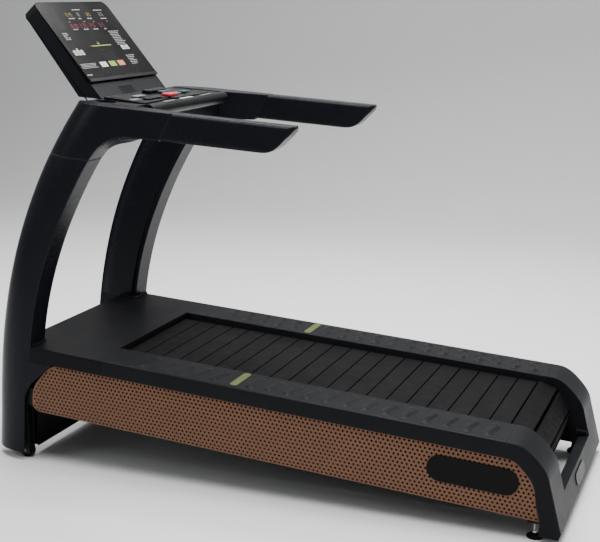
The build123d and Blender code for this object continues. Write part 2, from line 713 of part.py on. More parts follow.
# --- brake and drive ----------------------------------------------------------
def belt_wrap(r_big, r_small):
    """Outline round two circles at the front axle and the generator, as an (x, z) sketch."""
    dx, dz = GEN_X - FRONT_AXIS_X, GEN_Z - AXIS_Z
    reach = (dx**2 + dz**2) ** 0.5
    tilt = degrees(atan2(dz, dx))
    lean = degrees(asin((r_big - r_small) / reach))
    points = []
    for sign in (1, -1):
        for far, r in ((0, r_big), (reach, r_small)):
            a = radians(90 - lean)
            points.append((far + r * cos(a), sign * r * sin(a)))
    hull = make_face(Polyline(points[0], points[1], points[3], points[2], close=True))
    hull += Circle(r_big)
    hull += Pos(reach, 0) * Circle(r_small)
    return Pos(FRONT_AXIS_X, AXIS_Z) * Rot(0, 0, tilt) * hull


def drive():
    low, high = DRIVE_Y
    keep("drive_pulley", rod(FRONT_AXIS_X, low, high, AXIS_Z, DRIVE_R, AXLE_R))
    keep("generator_pulley", rod(GEN_X, low, high, GEN_Z, GEN_PULLEY_R, GEN_SHAFT_R))
    keep("generator_shaft", rod(GEN_X, GEN_BODY_Y[0] - 10, high + 4, GEN_Z, GEN_SHAFT_R))
    body = rod(GEN_X, *GEN_BODY_Y, GEN_Z, GEN_BODY_R)
    bore = rod(GEN_X, GEN_BODY_Y[0] - 1, GEN_BODY_Y[1] + 1, GEN_Z, GEN_SHAFT_R + RUN_FIT)
    keep("generator_body", body - bore)
    gap, thick = DRUM_GAP, 4
    outer = belt_wrap(DRIVE_R + gap + thick, GEN_PULLEY_R + gap + thick)
    inner = belt_wrap(DRIVE_R + gap, GEN_PULLEY_R + gap)
    ring = Plane.XZ * (outer - inner)
    belt = Pos(0, high - 2, 0) * extrude(ring, high - low - 4, dir=(0, -1, 0))
    keep("drive_belt", belt)
    bracket = block(GEN_X - 45, GEN_X - 5, 150, 280, BEAM_HIGH_Z, GEN_Z - 40)
    keep("generator_bracket", bracket - rod(GEN_X, 100, 300, GEN_Z, GEN_BODY_R + DRUM_GAP))


# --- console ------------------------------------------------------------------
def tray_outline(inset):
    i = inset
    return Polyline(
        (TRAY_REAR_X + i, TRAY_TOP - i),
        (TRAY_REAR_X + i, TRAY_LOW + i),
        (TRAY_TOE_X - i * 1.6, TRAY_LOW + i),
        (TRAY_FRONT_X - i * 0.6, TRAY_TOP - i),
        close=True,
    )


def console():
    tray = flank(tray_outline(0), -TRAY_HALF, TRAY_HALF)
    tray -= flank(tray_outline(SKIN), SKIN - TRAY_HALF, TRAY_HALF - SKIN)
    for sign in (1, -1):
        tray -= post(CUP_X, sign * CUP_Y, TRAY_LOW + 10, TRAY_TOP + 5, CUP_R + 3)
    for x, y, *_ in KEYS.values():
        tray -= block(x - 8, x + 8, y - 8, y + 8, TRAY_TOP - 10, TRAY_TOP + 5)
    keep("console_tray", tray)
    cup = post(CUP_X, CUP_Y, TRAY_TOP - CUP_DEEP, TRAY_TOP + 1, CUP_R + 2.5)
    rim = post(CUP_X, CUP_Y, TRAY_TOP, TRAY_TOP + 2, CUP_R + 4)
    bore = post(CUP_X, CUP_Y, TRAY_TOP - CUP_DEEP + 3, TRAY_TOP + 5, CUP_R)
    keep("cup_holders", pair(cup + rim - bore))
    lug = block(BAR_X, TRAY_REAR_X - RUN_FIT, BAR_HALF - 60, BAR_HALF - 20, BAR_Z - 16, TRAY_TOP - 4)
    bar = rod(BAR_X, -BAR_HALF, BAR_HALF, BAR_Z, BAR_R) + lug + flip(lug)
    keep("cross_handle", bar - rod(BAR_X, 3 - BAR_HALF, BAR_HALF - 3, BAR_Z, BAR_R - 3))


# key name: middle x, middle y, length along x, width along y, height above the plate
KEYS = {
    "stop_key": (623, 30, 36, 70, 12),
    "start_key": (690, 150, 26, 66, 4),
    "speed_key": (692, -60, 26, 74, 7),
    "level_key": (655, -150, 26, 60, 5),
}


def plate_z(x):
    share = (x - PLATE_REAR_X) / (PLATE_FRONT_X - PLATE_REAR_X)
    return PLATE_REAR_Z + (PLATE_FRONT_Z - PLATE_REAR_Z) * share


def keys():
    outline = [
        (PLATE_REAR_X, TRAY_TOP),
        (PLATE_FRONT_X, TRAY_TOP),
        (PLATE_FRONT_X, PLATE_FRONT_Z),
        (PLATE_REAR_X, PLATE_REAR_Z),
    ]
    plate = polygon_flank(outline, -PLATE_HALF, PLATE_HALF)
    for name, (x, y, long_x, long_y, tall) in KEYS.items():
        travel = STOP_TRAVEL if name == "stop_key" else KEY_TRAVEL
        low = plate_z(x + long_x / 2) + travel + 0.5
        cap = block(x - long_x / 2, x + long_x / 2, y - long_y / 2, y + long_y / 2, low, low + tall)
        cap = fillet(cap.edges().filter_by(Axis.Z), 10)
        cap = chamfer(cap.edges().group_by(Axis.Z)[-1], 1.5)
        stem = post(x, y, TRAY_TOP - 6, low + 1, KEY_STEM_R)
        keep(name, cap + stem)
        plate -= post(x, y, TRAY_TOP - 1, low + 1, KEY_STEM_R + 0.4)
    keep("key_panel", plate)


def display_place(u, depth):
    """Deck-frame point at height u up the screen and depth behind it."""
    a = radians(DISPLAY_ANGLE)
    x0, z0 = DISPLAY_FOOT
    return x0 + u * cos(a) + depth * sin(a), z0 + u * sin(a) - depth * cos(a)


def display_form(corners, half):
    return polygon_flank([display_place(u, depth) for u, depth in corners], -half, half)


def display_corners(y_half, radius):
    """Screen-shaped bar square to the screen: upper corners rounded."""
    low, high = -80, DISPLAY_LEN
    outline = Polyline((low, y_half), (high - radius, y_half))
    outline += JernArc((high - radius, y_half), (1, 0), radius, -90)
    outline += Line((high, y_half - radius), (high, radius - y_half))
    outline += JernArc((high, radius - y_half), (0, -1), radius, -90)
    outline += Polyline((high - radius, -y_half), (low, -y_half), (low, y_half))
    bar = Pos(0, 0, -150) * extrude(make_face(outline), 200)
    x0, z0 = DISPLAY_FOOT
    return Pos(x0, 0, z0) * Rot(0, -DISPLAY_ANGLE, 0) * bar


def display():
    ledge, top, thin, thick = DISPLAY_LEDGE, DISPLAY_LEN, *BEZEL_THICK
    shape = display_corners(DISPLAY_HALF, DISPLAY_ROUND)
    wall = 3
    front = [(-20, thick), (ledge, thick), (top, thin)]
    front_inside = [(-20, thick + wall), (ledge, thick + wall), (top - wall, thin + wall)]
    housing = display_form(front + [(top - 8, 58), (-40, 82)], DISPLAY_HALF)
    hollow = display_form(front_inside + [(top - 8 - wall, 55), (-40, 79)], DISPLAY_HALF - wall)
    hollow &= display_corners(DISPLAY_HALF - wall, DISPLAY_ROUND)
    floor = block(600, 1200, -400, 400, 1100, TRAY_TOP + CLEAR)
    keep("display_housing", (housing & shape) - hollow - floor)
    glass = display_form([(ledge, 0), (top, 0), (top, thin - CLEAR), (ledge, thick - CLEAR)], DISPLAY_HALF)
    keep("display_bezel", glass & shape)
    back = thick - CLEAR
    vent = display_form([(-4, 8), (ledge - 1, 8), (ledge - 1, back), (-4, back)], DISPLAY_HALF - 2)
    keep("vent_panel", vent - floor)


# --- wheels and feet (floor frame) --------------------------------------------
def wheels():
    low, high = WHEEL_Y - WHEEL_W / 2, WHEEL_Y + WHEEL_W / 2
    wheel = rod(WHEEL_X, low, high, WHEEL_R, WHEEL_R, WHEEL_PIN_R + RUN_FIT)
    both("transport_wheel", wheel, floor=True)
    keep("wheel_axles", pair(rod(WHEEL_X, low - 8, high + 8, WHEEL_R, WHEEL_PIN_R)), floor=True)


def feet():
    pad = Pos(FOOT_X, FOOT_Y, 0) * Cone(FOOT_R, 14, 16, align=(Align.CENTER, Align.CENTER, Align.MIN))
    both("levelling_foot", pad + post(FOOT_X, FOOT_Y, 15, 96, STEM_R), floor=True)


def main():
    uprights()
    channel_strips()
    upright_columns()
    shoulders()
    arms()
    arm_tubes()
    foot_rails()
    hood()
    front_cover()
    end_caps()
    rear_bumper()
    badges()
    side_panels()
    frame()
    frame_brackets()
    end_brackets()
    fasteners()
    slats()
    belt_loops()
    drums()
    rolling_deck()
    drive()
    console()
    keys()
    display()
    wheels()
    feet()
    os.makedirs("parts", exist_ok=True)
    for name, shape in parts.items():
        export_step(shape, f"parts/{name}.step")


main()
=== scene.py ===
import json
from math import atan2, ceil, cos, hypot, pi, radians, sin

import bmesh
import bpy
from mathutils import Matrix, Vector
from mathutils.geometry import delaunay_2d_cdt


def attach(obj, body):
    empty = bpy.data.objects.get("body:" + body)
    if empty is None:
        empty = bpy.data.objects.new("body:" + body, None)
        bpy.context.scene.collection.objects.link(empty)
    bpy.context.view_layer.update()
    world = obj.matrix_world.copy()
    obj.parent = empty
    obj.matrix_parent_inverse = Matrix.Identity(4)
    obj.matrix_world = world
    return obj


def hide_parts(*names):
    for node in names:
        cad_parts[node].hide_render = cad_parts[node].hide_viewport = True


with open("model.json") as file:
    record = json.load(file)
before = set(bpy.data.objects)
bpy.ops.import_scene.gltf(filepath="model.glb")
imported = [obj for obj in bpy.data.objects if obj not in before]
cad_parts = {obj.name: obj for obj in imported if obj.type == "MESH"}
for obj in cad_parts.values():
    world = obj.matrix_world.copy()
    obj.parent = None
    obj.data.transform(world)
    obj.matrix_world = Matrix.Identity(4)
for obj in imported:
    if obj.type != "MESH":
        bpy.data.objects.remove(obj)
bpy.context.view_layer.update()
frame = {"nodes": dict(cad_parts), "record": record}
NODES = frame["nodes"]

# The deck frame of the CAD model, in millimetres: tilted front-up, origin on the floor.
INCLINE = radians(4.13)
ORIGIN_X = 45.67
HALF_W = 450
RAIL_TOP, RAIL_SKIN, RIDGE_R = 386.5, 5, 9
BAND_LOW, SKIRT_LOW, OPEN_HALF = 331, 300, 278
RAIL_REAR, RAIL_FRONT = -823.5, 639.5


def deck(x, y, z):
    """Deck-frame millimetres to row-frame metres."""
    return Vector((
        (x * cos(INCLINE) - z * sin(INCLINE) - ORIGIN_X) / 1000,
        y / 1000,
        (x * sin(INCLINE) + z * cos(INCLINE)) / 1000,
    ))


def to_deck(point):
    """Row-frame metres to deck-frame millimetres."""
    x, y, z = point.x * 1000 + ORIGIN_X, point.y * 1000, point.z * 1000
    return x * cos(INCLINE) + z * sin(INCLINE), y, z * cos(INCLINE) - x * sin(INCLINE)


def ground(x, y, z):
    """Floor-frame millimetres, for the wheels and feet, to row-frame metres."""
    return Vector(((x - ORIGIN_X) / 1000, y / 1000, z / 1000))


# --- materials ----------------------------------------------------------------
def shader(name):
    m = bpy.data.materials.new(name)
    m.use_nodes = True
    nt = m.node_tree
    return m, nt, nt.nodes["Principled BSDF"]


def node(nt, kind, **settings):
    n = nt.nodes.new(kind)
    for key, value in settings.items():
        if key in n.inputs:
            n.inputs[key].default_value = value
        else:
            setattr(n, key, value)
    return n


def noise(nt, scale, detail=4.0, stretch=(1, 1, 1)):
    """Noise in object space, from 0 to 1."""
    place = nt.nodes.new("ShaderNodeTexCoord").outputs["Object"]
    if stretch != (1, 1, 1):
        mapping = node(nt, "ShaderNodeMapping", Scale=stretch)
        nt.links.new(place, mapping.inputs["Vector"])
        place = mapping.outputs["Vector"]
    n = node(nt, "ShaderNodeTexNoise", Scale=scale, Detail=detail, Roughness=0.6)
    nt.links.new(place, n.inputs["Vector"])
    return n.outputs["Fac"]


def ramp(nt, source, low, high, start, end):
    """Maps source from low..high to start..end."""
    r = nt.nodes.new("ShaderNodeMapRange")
    for key, value in zip(("From Min", "From Max", "To Min", "To Max"), (low, high, start, end)):
        r.inputs[key].default_value = value
    nt.links.new(source, r.inputs["Value"])
    return r.outputs["Result"]


def math(nt, what, a, b):
    n = node(nt, "ShaderNodeMath", operation=what)
    for socket, value in zip(n.inputs, (a, b)):
        if isinstance(value, (int, float)):
            socket.default_value = value
        else:
            nt.links.new(value, socket)
    return n.outputs["Value"]


def mix(nt, amount, a, b):
    m = node(nt, "ShaderNodeMix", data_type="RGBA")
    for socket, value in ((m.inputs["A"], a), (m.inputs["B"], b)):
        if isinstance(value, tuple):
            socket.default_value = (*value, 1)
        else:
            nt.links.new(value, socket)
    nt.links.new(amount, m.inputs["Factor"])
    return m.outputs["Result"]


def scaled(colour, share):
    return tuple(min(c * share, 1) for c in colour)


def edge_mask(nt, radius):
    """Rounded normal for the edges, and how far it turns from the flat one."""
    bevel = node(nt, "ShaderNodeBevel", Radius=radius, samples=6)
    flat = nt.nodes.new("ShaderNodeNewGeometry").outputs["Normal"]
    dot = node(nt, "ShaderNodeVectorMath", operation="DOT_PRODUCT")
    nt.links.new(bevel.outputs["Normal"], dot.inputs[0])
    nt.links.new(flat, dot.inputs[1])
    return bevel.outputs["Normal"], ramp(nt, dot.outputs["Value"], 1.0, 0.8, 0.0, 1.0)


DUST = (0.05, 0.048, 0.045)
RUBBER_DUST = (0.06, 0.057, 0.053)


def dust_mask(nt):
    """Thin dust on faces that look up, broken by noise."""
    up = nt.nodes.new("ShaderNodeSeparateXYZ")
    nt.links.new(nt.nodes.new("ShaderNodeNewGeometry").outputs["Normal"], up.inputs[0])
    facing = ramp(nt, up.outputs["Z"], 0.6, 1.0, 0.0, 1.0)
    return math(nt, "MULTIPLY", facing, ramp(nt, noise(nt, 9, 8), 0.45, 0.75, 0.0, 1.0))


def skin(name, colour, rough, grain=1100, bump=0.25, depth=0.0004, metal=0.0, spec=0.3,
         edge=0.0015, edge_wear_and_highlight=0.5, dust=0.1):
    """Moulded, painted or cast skin: fine grain, slow drift in tone and gloss, dust, and edges lightened both for rub
    wear and as a painted highlight.
    """
    m, nt, b = shader(name)
    slow = noise(nt, 5, 6)
    tone = mix(nt, slow, scaled(colour, 0.8), scaled(colour, 1.2))
    rounded, edge_wear_and_highlight_mask = edge_mask(nt, edge)
    # Edges lighter, up to 2.2 times the colour: rub wear, and a painted highlight along rounded edges.
    tone = mix(nt, math(nt, "MULTIPLY", edge_wear_and_highlight_mask, edge_wear_and_highlight), tone, scaled(colour, 2.2))
    tone = mix(nt, math(nt, "MULTIPLY", dust_mask(nt), dust), tone, DUST)
    nt.links.new(tone, b.inputs["Base Color"])
    nt.links.new(ramp(nt, slow, 0.3, 0.7, rough - 0.05, rough + 0.06), b.inputs["Roughness"])
    b.inputs["Metallic"].default_value = metal
    b.inputs["Specular IOR Level"].default_value = spec
    relief = node(nt, "ShaderNodeBump", Strength=bump, Distance=depth)
    nt.links.new(noise(nt, grain, 3), relief.inputs["Height"])
    nt.links.new(rounded, relief.inputs["Normal"])
    nt.links.new(relief.outputs["Normal"], b.inputs["Normal"])
    return m


def brushed(name, colour, rough, metal=1.0):
    """Turned or zinc-plated metal with fine streaks."""
    m, nt, b = shader(name)
    streak = noise(nt, 60, 6, (1, 1, 14))
    nt.links.new(mix(nt, streak, scaled(colour, 0.7), scaled(colour, 1.2)), b.inputs["Base Color"])
    nt.links.new(ramp(nt, streak, 0.3, 0.7, rough - 0.08, rough + 0.1), b.inputs["Roughness"])
    b.inputs["Metallic"].default_value = metal
    rounded, _ = edge_mask(nt, 0.0008)
    relief = node(nt, "ShaderNodeBump", Strength=0.15, Distance=0.0002)
    nt.links.new(streak, relief.inputs["Height"])
    nt.links.new(rounded, relief.inputs["Normal"])
    nt.links.new(relief.outputs["Normal"], b.inputs["Normal"])
    return m


def rubber(name, colour, speck):
    """Slat rubber: fine pebbled face with pale and dark specks."""
    m, nt, b = shader(name)
    crumbs = node(nt, "ShaderNodeTexVoronoi", Scale=420.0)
    nt.links.new(nt.nodes.new("ShaderNodeTexCoord").outputs["Object"], crumbs.inputs["Vector"])
    speckle = ramp(nt, noise(nt, 800, 2), 0.6, 0.72, 0.0, 1.0)
    tone = mix(nt, noise(nt, 7, 6), scaled(colour, 0.85), scaled(colour, 1.15))
    tone = mix(nt, math(nt, "MULTIPLY", speckle, 0.6), tone, speck)
    tone = mix(nt, math(nt, "MULTIPLY", dust_mask(nt), 0.06), tone, RUBBER_DUST)
    nt.links.new(tone, b.inputs["Base Color"])
    nt.links.new(ramp(nt, noise(nt, 30, 4), 0.3, 0.7, 0.5, 0.66), b.inputs["Roughness"])
    b.inputs["Specular IOR Level"].default_value = 0.05
    rounded, _ = edge_mask(nt, 0.0015)
    relief = node(nt, "ShaderNodeBump", Strength=0.5, Distance=0.0006)
    nt.links.new(crumbs.outputs["Distance"], relief.inputs["Height"])
    nt.links.new(rounded, relief.inputs["Normal"])
    nt.links.new(relief.outputs["Normal"], b.inputs["Normal"])
    return m


def lit(name, colour, strength, rough=0.3):
    """Mark on the screen, slightly uneven, with a faint emission: the display's own glow for the lit figures, and a
    painted glow on printed marks.
    """
    m, nt, b = shader(name)
    nt.links.new(mix(nt, noise(nt, 300, 3), scaled(colour, 0.75), colour), b.inputs["Base Color"])
    b.inputs["Emission Color"].default_value = (*colour, 1)
    b.inputs["Emission Strength"].default_value = strength
    b.inputs["Roughness"].default_value = rough
    b.inputs["Specular IOR Level"].default_value = 0.2
    return m


MAT = {
    "frame_paint": skin("frame_paint", (0.008, 0.008, 0.009), 0.45, 500, 0.3, spec=0.15),
    # Steel darkened to 0.16 as painted shade for the axle deep in the frame. The bar's sensor plates share it; the foot
    # stems take the brighter zinc.
    "steel": brushed("steel", (0.16, 0.16, 0.165), 0.45),
    "cast_metal": skin("cast_metal", (0.1, 0.1, 0.105), 0.5, 400, 0.5, metal=0.8),
    "deck_roller": skin("deck_roller", (0.02, 0.02, 0.022), 0.4),
    # Shells, rails and hood get strong edge lightening: partly wear, partly a painted highlight along their rounded
    # edges.
    "upright_shell": skin("upright_shell", (0.0072, 0.0078, 0.011), 0.26, 1300, 0.1, spec=0.08, edge=0.008, edge_wear_and_highlight=1.0),
    "channel_strip": skin("channel_strip", (0.002, 0.002, 0.002), 0.7, spec=0.1),
    "rail_cover": skin("rail_cover", (0.0095, 0.0098, 0.0115), 0.4, 1000, 0.5, spec=0.055, edge=0.003, edge_wear_and_highlight=1.0),
    "hood_cover": skin("hood_cover", (0.007, 0.0071, 0.0082), 0.42, 1000, 0.5, spec=0.06, edge=0.003, edge_wear_and_highlight=1.0),
    "step_marker": skin("step_marker", (0.1, 0.115, 0.042), 0.5, 700, 0.3, spec=0.12, edge_wear_and_highlight=0.0),
    "badge_plate": skin("badge_plate", (0.002, 0.002, 0.0026), 0.3, 700, 0.1, spec=0.08),
    "perforated_panel": skin("perforated_panel", (0.15, 0.075, 0.044), 0.48, 900, 0.15, metal=0.35, spec=0.2,
                             edge=0.0006, edge_wear_and_highlight=0.15),
    "slat_rubber": rubber("slat_rubber", (0.0042, 0.0042, 0.0048), (0.02, 0.019, 0.02)),
    "loop_rubber": rubber("loop_rubber", (0.005, 0.005, 0.005), (0.02, 0.02, 0.02)),
    "console_cover": skin("console_cover", (0.0065, 0.0072, 0.0098), 0.4, 1000, 0.3, spec=0.1),
    # Grip edges lightened: partly wear, partly a painted highlight along the arms' top edges.
    "grip": skin("grip", (0.005, 0.0054, 0.0062), 0.32, 1000, 0.25, spec=0.13, edge=0.005, edge_wear_and_highlight=0.8),
    "display_glass": skin("display_glass", (0.003, 0.0028, 0.003), 0.25, 300, 0.04, spec=0.1, edge=0.0008),
    "key_plate": skin("key_plate", (0.005, 0.005, 0.006), 0.35, 700, 0.1, spec=0.15),
    "stop_red": skin("stop_red", (0.55, 0.03, 0.06), 0.35, 700, 0.1, edge_wear_and_highlight=0.1, spec=0.3),
    "start_grey": skin("start_grey", (0.14, 0.16, 0.17), 0.4, 700, 0.1, edge_wear_and_highlight=0.1),
    "key_teal": skin("key_teal", (0.012, 0.055, 0.065), 0.4, 700, 0.1, edge_wear_and_highlight=0.1),
    "wheel_tyre": rubber("wheel_tyre", (0.006, 0.006, 0.006), (0.02, 0.02, 0.02)),
}
ZINC = brushed("zinc", (0.5, 0.5, 0.52), 0.3)
# Every screen colour emits a little: own glow for the lit figures, painted glow for the print and the unlit grey
# figures.
SCREEN = {
    "print": lit("screen_print", (0.4, 0.4, 0.4), 0.03),
    "amber": lit("screen_amber", (0.2, 0.15, 0.03), 0.03),
    "red": lit("screen_red", (0.16, 0.01, 0.016), 0.06),
    "green": lit("screen_green", (0.25, 0.34, 0.08), 0.15),
    "orange": lit("screen_orange", (0.6, 0.24, 0.12), 0.1),
    "white": lit("screen_white", (0.6, 0.62, 0.6), 0.1),
    "grey": lit("screen_grey", (0.2, 0.2, 0.2), 0.03),
}

for part in frame["record"]["subparts"]:
    o = NODES[part["node"]]
    o.data.materials.clear()
    o.data.materials.append(MAT[part["material_slot"]])


# --- building blocks ------------------------------------------------------------
def piece(name, mesh, slot, body="machine", stands_for=(), material=None):
    """Files a finished mesh as a visible piece on a CAD body."""
    o = bpy.data.objects.new(name, mesh)
    bpy.context.collection.objects.link(o)
    if not mesh.materials:
        mesh.materials.append(material or MAT[slot])
    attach(o, body)
    if stands_for:
        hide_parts(*stands_for)
    return o


def finish_mesh(name, bm, smooth_below=35):
    """Mesh from bm with smooth shading, sharp above that angle in degrees."""
    bmesh.ops.recalc_face_normals(bm, faces=bm.faces)
    mesh = bpy.data.meshes.new(name)
    bm.to_mesh(mesh)
    bm.free()
    mesh.shade_smooth()
    mesh.set_sharp_from_angle(angle=radians(smooth_below))
    return mesh


def slab(bm, middle, size, round_off, lean=0):
    """Adds a box with rounded edges, in deck millimetres, turned front up by lean degrees."""
    box = bmesh.new()
    bmesh.ops.create_cube(box, size=1)
    for v in box.verts:
        v.co = Vector(v.co[i] * size[i] for i in range(3))
    if round_off:
        bmesh.ops.bevel(box, geom=box.edges[:], offset=round_off, segments=3, profile=0.5, affect="EDGES")
    c, s = cos(radians(lean)), sin(radians(lean))
    for v in box.verts:
        x, y, z = v.co
        v.co = deck(middle[0] + x * c - z * s, middle[1] + y, middle[2] + x * s + z * c)
    add_to(bm, box)


def add_to(bm, extra):
    """Moves everything in extra into bm."""
    carrier = bpy.data.meshes.new("carrier")
    extra.to_mesh(carrier)
    extra.free()
    bm.from_mesh(carrier)
    bpy.data.meshes.remove(carrier)


def slabs(name, items, round_off, slot, lean=0, material=None):
    """One piece of several rounded boxes, each given as (middle, size)."""
    bm = bmesh.new()
    for middle, size in items:
        slab(bm, middle, size, round_off, lean)
    return piece(name, finish_mesh(name, bm), slot, material=material)


def lathe(bm, profile, origin, steps=40):
    """Revolves (radius, height) points about the upright axis through origin, in floor-frame millimetres."""
    rings = []
    for radius, height in profile:
        ring = []
        for i in range(steps):
            a = 2 * pi * i / steps
            x, y = radius * cos(a), radius * sin(a)
            ring.append(bm.verts.new(ground(origin[0] + x, origin[1] + y, origin[2] + height)))
        rings.append(ring)
    for low, high in zip(rings, rings[1:]):
        for i in range(steps):
            j = (i + 1) % steps
            bm.faces.new((low[i], low[j], high[j], high[i]))
    for ring in (rings[0], rings[-1]):
        bm.faces.new(ring)


# --- perforated side panels -----------------------------------------------------
HOLE_PITCH, HOLE_ROW, HOLE_R = 15.8, 13.7, 4.0
HOLE_AT = (43.9, 267.6)
HOLE_SIDES = 10
PANEL_Y, PANEL_LOW, PANEL_HIGH, PANEL_SHEET = 444, 134, 330, 1.5
ROLL_FROM, ROLL_DEEP, PANEL_CROWN = 168, 7, 2.5


def face_outline(name):
    """Boundary of a CAD node's outer left face, as (x, z) in deck millimetres."""
    bm = bmesh.new()
    bm.from_mesh(NODES[name].data)
    bmesh.ops.remove_doubles(bm, verts=bm.verts, dist=1e-5)
    front = {f for f in bm.faces if f.normal.y > 0.99}
    ends = {}
    for f in front:
        for loop in f.loops:
            if sum(other in front for other in loop.edge.link_faces) == 1:
                ends[loop.vert] = loop.link_loop_next.vert
    start = min(ends, key=lambda v: (v.co.x, v.co.z))
    chain, v = [], start
    while True:
        x, _, z = to_deck(v.co)
        chain.append(Vector((x, z)))
        v = ends[v]
        if v == start:
            break
    bm.free()
    return chain


def to_line(p, a, b):
    """Distance of p from the segment between a and b."""
    d = b - a
    t = max(0, min(1, (p - a).dot(d) / max(d.length_squared, 1e-9)))
    return (p - a - d * t).length


def inside(p, chain):
    """True where p lies within the closed outline."""
    hit = False
    for a, b in zip(chain, chain[1:] + chain[:1]):
        if (a.y > p.y) != (b.y > p.y) and p.x < a.x + (p.y - a.y) / (b.y - a.y) * (b.x - a.x):
            hit = not hit
    return hit


def hole_centres(chain):
    """Staggered rows of holes that fit whole inside the outline."""
    low_x, high_x = min(p.x for p in chain), max(p.x for p in chain)
    centres = []
    first = ceil((PANEL_LOW - HOLE_AT[1]) / HOLE_ROW)
    last = int((PANEL_HIGH - HOLE_AT[1]) / HOLE_ROW)
    for row in range(first, last + 1):
        z = HOLE_AT[1] + row * HOLE_ROW
        x = HOLE_AT[0] + (HOLE_PITCH / 2 if row % 2 else 0)
        x -= int((x - low_x) / HOLE_PITCH) * HOLE_PITCH
        while x < high_x:
            p = Vector((x, z))
            near = min(to_line(p, a, b) for a, b in zip(chain, chain[1:] + chain[:1]))
            if near > HOLE_R + 1.2 and inside(p, chain):
                centres.append(p)
            x += HOLE_PITCH
    return centres


def panel_surface(z):
    """Distance of the sheet's outer face from the machine's middle: crowned, lower edge rolled in."""
    middle, half = (PANEL_LOW + PANEL_HIGH) / 2, (PANEL_HIGH - PANEL_LOW) / 2
    y = PANEL_Y - PANEL_CROWN * ((z - middle) / half) ** 2
    rolled = max(0, ROLL_FROM - z) / (ROLL_FROM - PANEL_LOW)
    return y - ROLL_DEEP * rolled**2


def perforated_sheet():
    """Flat triangulated sheet with the holes left out: its points and its faces."""
    chain = face_outline("side_panel_left")
    centres = hole_centres(chain)
    points = list(chain)
    edges = [(i, (i + 1) % len(chain)) for i in range(len(chain))]
    for c in centres:
        base = len(points)
        for i in range(HOLE_SIDES):
            a = 2 * pi * i / HOLE_SIDES
            points.append(c + Vector((cos(a), sin(a))) * HOLE_R)
            edges.append((base + i, base + (i + 1) % HOLE_SIDES))
    flat, _, faces, *_ = delaunay_2d_cdt(points, edges, [], 1, 1e-4)
    rows = {}
    for c in centres:
        rows.setdefault(round((c.y - HOLE_AT[1]) / HOLE_ROW), []).append(c)

    def in_hole(p):
        row = rows.get(round((p.y - HOLE_AT[1]) / HOLE_ROW), [])
        return any((p - c).length < HOLE_R * 0.9 for c in row if abs(c.x - p.x) < HOLE_R)

    kept = [f for f in faces if not in_hole(sum((flat[i] for i in f), Vector((0, 0))) / len(f))]
    return flat, kept


def panel_shade_sheets():
    """Near-black sheet behind the holes of each side panel: painted shade, so the holes read dark."""
    chain = face_outline("side_panel_left")
    for name, sign in (("left", 1), ("right", -1)):
        bm = bmesh.new()
        flat, _, faces, *_ = delaunay_2d_cdt(chain, [(i, (i + 1) % len(chain)) for i in range(len(chain))], [], 1, 1e-4)
        # The sheet lies 3 mm inside the panel, in the near-black channel strip colour: painted shade behind the holes.
        verts = [bm.verts.new(deck(p.x, sign * (panel_surface(p.y) - 3), p.y)) for p in flat]
        for f in faces:
            bm.faces.new([verts[i] for i in f])
        o = piece(f"panel_shade_sheet_{name}", finish_mesh(f"panel_shade_sheet_{name}", bm), "channel_strip")
        thick = o.modifiers.new("painted_shade_solid", "SOLIDIFY")
        thick.thickness = 0.0006
        thick.offset = 0


def side_panels():
    """Perforated sheets bent to the panel's crown, given their thickness by a modifier."""
    flat, faces = perforated_sheet()
    for name, sign in (("left", 1), ("right", -1)):
        bm = bmesh.new()
        verts = [bm.verts.new(deck(p.x, sign * panel_surface(p.y), p.y)) for p in flat]
        for f in faces:
            bm.faces.new([verts[i] for i in f])
        for v in [v for v in bm.verts if not v.link_faces]:
            bm.verts.remove(v)
        for f in bm.faces:
            f.normal_update()
            if f.normal.y * sign < 0:
                f.normal_flip()
        mesh = bpy.data.meshes.new(f"perforated_side_{name}")
        bm.to_mesh(mesh)
        bm.free()
        o = piece(f"perforated_side_{name}", mesh, "perforated_panel", stands_for=(f"side_panel_{name}",))
        thick = o.modifiers.new("sheet", "SOLIDIFY")
        thick.thickness = PANEL_SHEET / 1000
        thick.offset = -1


# --- foot rails ------------------------------------------------------------------
RIB_PITCH, RIB_FIRST, RIB_LAST = 69.5, -760, 560
RIB_Y, RIB_R, RIB_TALL, RIB_SWAY = (322, 410), 18, 5.5, 6
MARKER_X, MARKER_Y = 135, (290, 430)
MARKER_LONG, MARKER_TALL, MARKER_CORNER = 29, 3, 12
RAIL_STEP = 3


def rib_lift(x, y):
    """Height of the soft pressed ribs above the tread."""
    low, high = RIB_Y
    i = round((x - RIB_FIRST) / RIB_PITCH)
    rib_x = RIB_FIRST + i * RIB_PITCH
    if not RIB_FIRST <= rib_x <= RIB_LAST or abs(rib_x - MARKER_X) < 40:
        return 0
    middle = (low + high) / 2
    sway = RIB_SWAY * sin(2 * pi * (y - middle) / (high - low) / 1.35)
    away = hypot(x - rib_x - sway, max(low - y, y - high, 0))
    return RIB_TALL * cos(pi * away / RIB_R / 2) ** 1.3 if away < RIB_R else 0


def arc(cy, cz, r, start, end, steps):
    """Points on an arc about (cy, cz), between two angles in degrees."""
    angles = [radians(start + (end - start) * i / steps) for i in range(steps + 1)]
    return [(cy + r * cos(a), cz + r * sin(a)) for a in angles]


